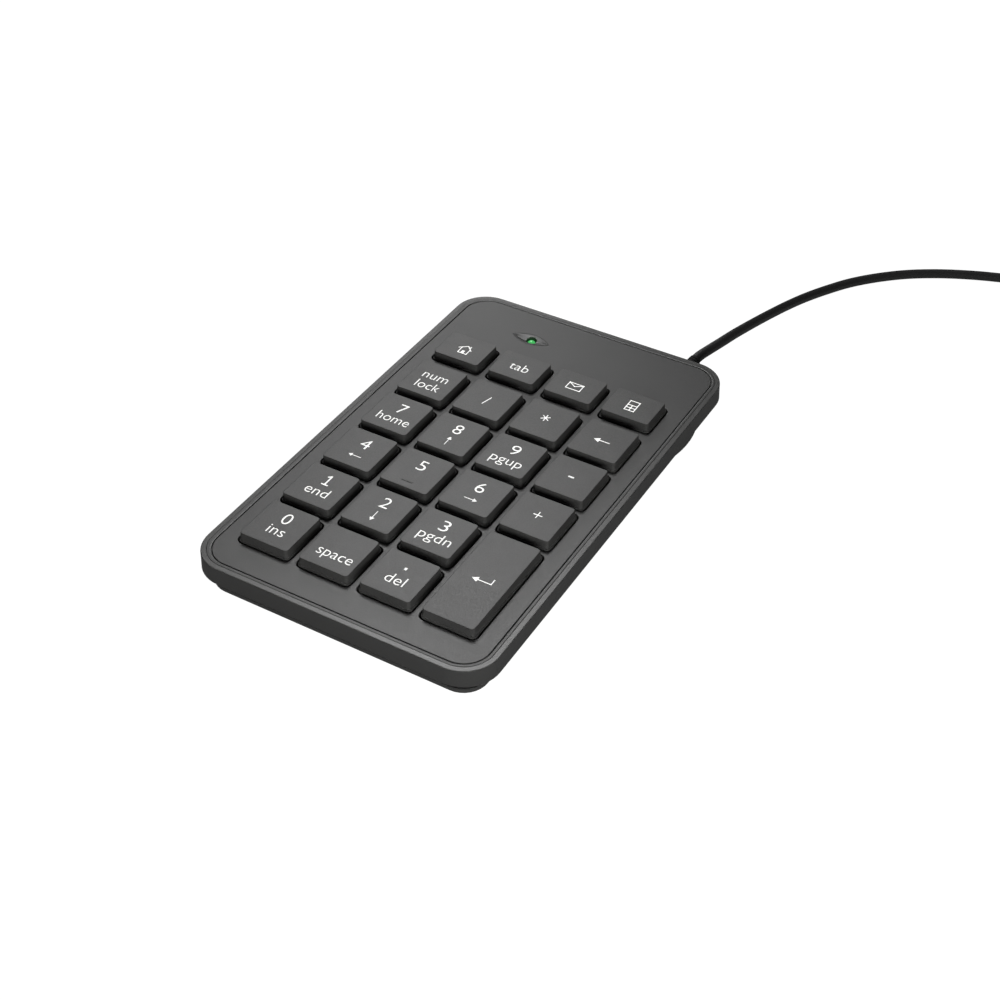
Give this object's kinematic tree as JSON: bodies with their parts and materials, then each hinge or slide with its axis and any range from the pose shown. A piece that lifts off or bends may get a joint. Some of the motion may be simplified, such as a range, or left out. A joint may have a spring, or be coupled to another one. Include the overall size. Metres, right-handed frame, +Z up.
{
  "type": "numeric keypad",
  "caption": "Wired low-profile numeric keypad with travelling keys, a wedge-shaped case on rubber feet, and a thin cable wound in a coil that ends in a USB plug.",
  "frame": {"origin": "middle of the case's footprint, on the surface that the feet stand on", "axes": "+X to the user's right, +Y from the user towards the cable end, +Z up"},
  "size_m": [0.2136, 0.2835, 0.0167],
  "materials": {
    "key_plastic": "fine matte texture",
    "case_plastic": "fine matte texture",
    "guide_plastic": "plain moulded",
    "silicone": "translucent matte",
    "membrane_film": "clear film with printed traces",
    "circuit_board": "solder mask",
    "chip_epoxy": "glob top",
    "led_epoxy": "lit green lens",
    "header_plastic": "natural nylon",
    "steel": "bright plated",
    "rubber": "matte",
    "cable_jacket": "satin PVC",
    "plug_plastic": "moulded",
    "tie_plastic": "twist tie",
    "tongue_plastic": "moulded"
  },
  "bodies": {
    "case": {"top_cover": "case_plastic", "bottom_cover": "case_plastic", "key_guide_frame": "guide_plastic", "rubber_dome_sheet": "silicone", "membrane_top_layer": "membrane_film", "membrane_spacer": "membrane_film", "membrane_bottom_layer": "membrane_film", "membrane_clamp_bar": "guide_plastic", "controller_board": "circuit_board", "controller_chip": "chip_epoxy", "num_lock_led": "led_epoxy", "cable_header": "header_plastic", "cable_inner_lead": "cable_jacket", "board_screw_left": "steel", "board_screw_right": "steel", "case_screw_front_left": "steel", "case_screw_front_right": "steel", "case_screw_rear_left": "steel", "case_screw_rear_right": "steel", "foot_front_left": "rubber", "foot_front_right": "rubber", "foot_rear_left": "rubber", "foot_rear_right": "rubber", "cable_grommet": "rubber", "cable": "cable_jacket", "cable_tail": "cable_jacket", "cable_coil": "cable_jacket", "cable_tie": "tie_plastic", "usb_overmould": "plug_plastic", "usb_shell": "steel", "usb_tongue": "tongue_plastic"},
    "key_home": {"key_home": "key_plastic"},
    "key_tab": {"key_tab": "key_plastic"},
    "key_mail": {"key_mail": "key_plastic"},
    "key_calculator": {"key_calculator": "key_plastic"},
    "key_num_lock": {"key_num_lock": "key_plastic"},
    "key_divide": {"key_divide": "key_plastic"},
    "key_multiply": {"key_multiply": "key_plastic"},
    "key_backspace": {"key_backspace": "key_plastic"},
    "key_7": {"key_7": "key_plastic"},
    "key_8": {"key_8": "key_plastic"},
    "key_9": {"key_9": "key_plastic"},
    "key_minus": {"key_minus": "key_plastic"},
    "key_4": {"key_4": "key_plastic"},
    "key_5": {"key_5": "key_plastic"},
    "key_6": {"key_6": "key_plastic"},
    "key_plus": {"key_plus": "key_plastic"},
    "key_1": {"key_1": "key_plastic"},
    "key_2": {"key_2": "key_plastic"},
    "key_3": {"key_3": "key_plastic"},
    "key_enter": {"key_enter": "key_plastic"},
    "key_0": {"key_0": "key_plastic"},
    "key_space": {"key_space": "key_plastic"},
    "key_decimal": {"key_decimal": "key_plastic"},
    "stabiliser_wire": {"enter_stabiliser_wire": "steel"}
  },
  "joints": [
    {"name": "key_home_press", "type": "slide", "parent": "case", "child": "key_home", "axis": [0, -0.0523, 0.9986], "range_m": [-0.002, 0], "stiffness_N_per_m": 200, "springref_m": 0.001, "deforming": ["rubber_dome_sheet"]},
    {"name": "key_tab_press", "type": "slide", "parent": "case", "child": "key_tab", "axis": [0, -0.0523, 0.9986], "range_m": [-0.002, 0], "stiffness_N_per_m": 200, "springref_m": 0.001, "deforming": ["rubber_dome_sheet"]},
    {"name": "key_mail_press", "type": "slide", "parent": "case", "child": "key_mail", "axis": [0, -0.0523, 0.9986], "range_m": [-0.002, 0], "stiffness_N_per_m": 200, "springref_m": 0.001, "deforming": ["rubber_dome_sheet"]},
    {"name": "key_calculator_press", "type": "slide", "parent": "case", "child": "key_calculator", "axis": [0, -0.0523, 0.9986], "range_m": [-0.002, 0], "stiffness_N_per_m": 200, "springref_m": 0.001, "deforming": ["rubber_dome_sheet"]},
    {"name": "key_num_lock_press", "type": "slide", "parent": "case", "child": "key_num_lock", "axis": [0, -0.0523, 0.9986], "range_m": [-0.002, 0], "stiffness_N_per_m": 200, "springref_m": 0.001, "deforming": ["rubber_dome_sheet"]},
    {"name": "key_divide_press", "type": "slide", "parent": "case", "child": "key_divide", "axis": [0, -0.0523, 0.9986], "range_m": [-0.002, 0], "stiffness_N_per_m": 200, "springref_m": 0.001, "deforming": ["rubber_dome_sheet"]},
    {"name": "key_multiply_press", "type": "slide", "parent": "case", "child": "key_multiply", "axis": [0, -0.0523, 0.9986], "range_m": [-0.002, 0], "stiffness_N_per_m": 200, "springref_m": 0.001, "deforming": ["rubber_dome_sheet"]},
    {"name": "key_backspace_press", "type": "slide", "parent": "case", "child": "key_backspace", "axis": [0, -0.0523, 0.9986], "range_m": [-0.002, 0], "stiffness_N_per_m": 200, "springref_m": 0.001, "deforming": ["rubber_dome_sheet"]},
    {"name": "key_7_press", "type": "slide", "parent": "case", "child": "key_7", "axis": [0, -0.0523, 0.9986], "range_m": [-0.002, 0], "stiffness_N_per_m": 200, "springref_m": 0.001, "deforming": ["rubber_dome_sheet"]},
    {"name": "key_8_press", "type": "slide", "parent": "case", "child": "key_8", "axis": [0, -0.0523, 0.9986], "range_m": [-0.002, 0], "stiffness_N_per_m": 200, "springref_m": 0.001, "deforming": ["rubber_dome_sheet"]},
    {"name": "key_9_press", "type": "slide", "parent": "case", "child": "key_9", "axis": [0, -0.0523, 0.9986], "range_m": [-0.002, 0], "stiffness_N_per_m": 200, "springref_m": 0.001, "deforming": ["rubber_dome_sheet"]},
    {"name": "key_minus_press", "type": "slide", "parent": "case", "child": "key_minus", "axis": [0, -0.0523, 0.9986], "range_m": [-0.002, 0], "stiffness_N_per_m": 200, "springref_m": 0.001, "deforming": ["rubber_dome_sheet"]},
    {"name": "key_4_press", "type": "slide", "parent": "case", "child": "key_4", "axis": [0, -0.0523, 0.9986], "range_m": [-0.002, 0], "stiffness_N_per_m": 200, "springref_m": 0.001, "deforming": ["rubber_dome_sheet"]},
    {"name": "key_5_press", "type": "slide", "parent": "case", "child": "key_5", "axis": [0, -0.0523, 0.9986], "range_m": [-0.002, 0], "stiffness_N_per_m": 200, "springref_m": 0.001, "deforming": ["rubber_dome_sheet"]},
    {"name": "key_6_press", "type": "slide", "parent": "case", "child": "key_6", "axis": [0, -0.0523, 0.9986], "range_m": [-0.002, 0], "stiffness_N_per_m": 200, "springref_m": 0.001, "deforming": ["rubber_dome_sheet"]},
    {"name": "key_plus_press", "type": "slide", "parent": "case", "child": "key_plus", "axis": [0, -0.0523, 0.9986], "range_m": [-0.002, 0], "stiffness_N_per_m": 200, "springref_m": 0.001, "deforming": ["rubber_dome_sheet"]},
    {"name": "key_1_press", "type": "slide", "parent": "case", "child": "key_1", "axis": [0, -0.0523, 0.9986], "range_m": [-0.002, 0], "stiffness_N_per_m": 200, "springref_m": 0.001, "deforming": ["rubber_dome_sheet"]},
    {"name": "key_2_press", "type": "slide", "parent": "case", "child": "key_2", "axis": [0, -0.0523, 0.9986], "range_m": [-0.002, 0], "stiffness_N_per_m": 200, "springref_m": 0.001, "deforming": ["rubber_dome_sheet"]},
    {"name": "key_3_press", "type": "slide", "parent": "case", "child": "key_3", "axis": [0, -0.0523, 0.9986], "range_m": [-0.002, 0], "stiffness_N_per_m": 200, "springref_m": 0.001, "deforming": ["rubber_dome_sheet"]},
    {"name": "key_enter_press", "type": "slide", "parent": "case", "child": "key_enter", "axis": [0, -0.0523, 0.9986], "range_m": [-0.002, 0], "stiffness_N_per_m": 200, "springref_m": 0.001, "deforming": ["rubber_dome_sheet"]},
    {"name": "key_0_press", "type": "slide", "parent": "case", "child": "key_0", "axis": [0, -0.0523, 0.9986], "range_m": [-0.002, 0], "stiffness_N_per_m": 200, "springref_m": 0.001, "deforming": ["rubber_dome_sheet"]},
    {"name": "key_space_press", "type": "slide", "parent": "case", "child": "key_space", "axis": [0, -0.0523, 0.9986], "range_m": [-0.002, 0], "stiffness_N_per_m": 200, "springref_m": 0.001, "deforming": ["rubber_dome_sheet"]},
    {"name": "key_decimal_press", "type": "slide", "parent": "case", "child": "key_decimal", "axis": [0, -0.0523, 0.9986], "range_m": [-0.002, 0], "stiffness_N_per_m": 200, "springref_m": 0.001, "deforming": ["rubber_dome_sheet"]},
    {"name": "stabiliser_wire_turn", "type": "hinge", "parent": "case", "child": "stabiliser_wire", "pos_m": [0.02337, -0.04453, 0.00787], "axis": [0, 0.9986, 0.0523], "range_deg": [0, 18.6]}
  ],
  "couplings": [
    {"joint": "stabiliser_wire_turn", "follows": "key_enter_press", "rad_per_m": -162}
  ]
}
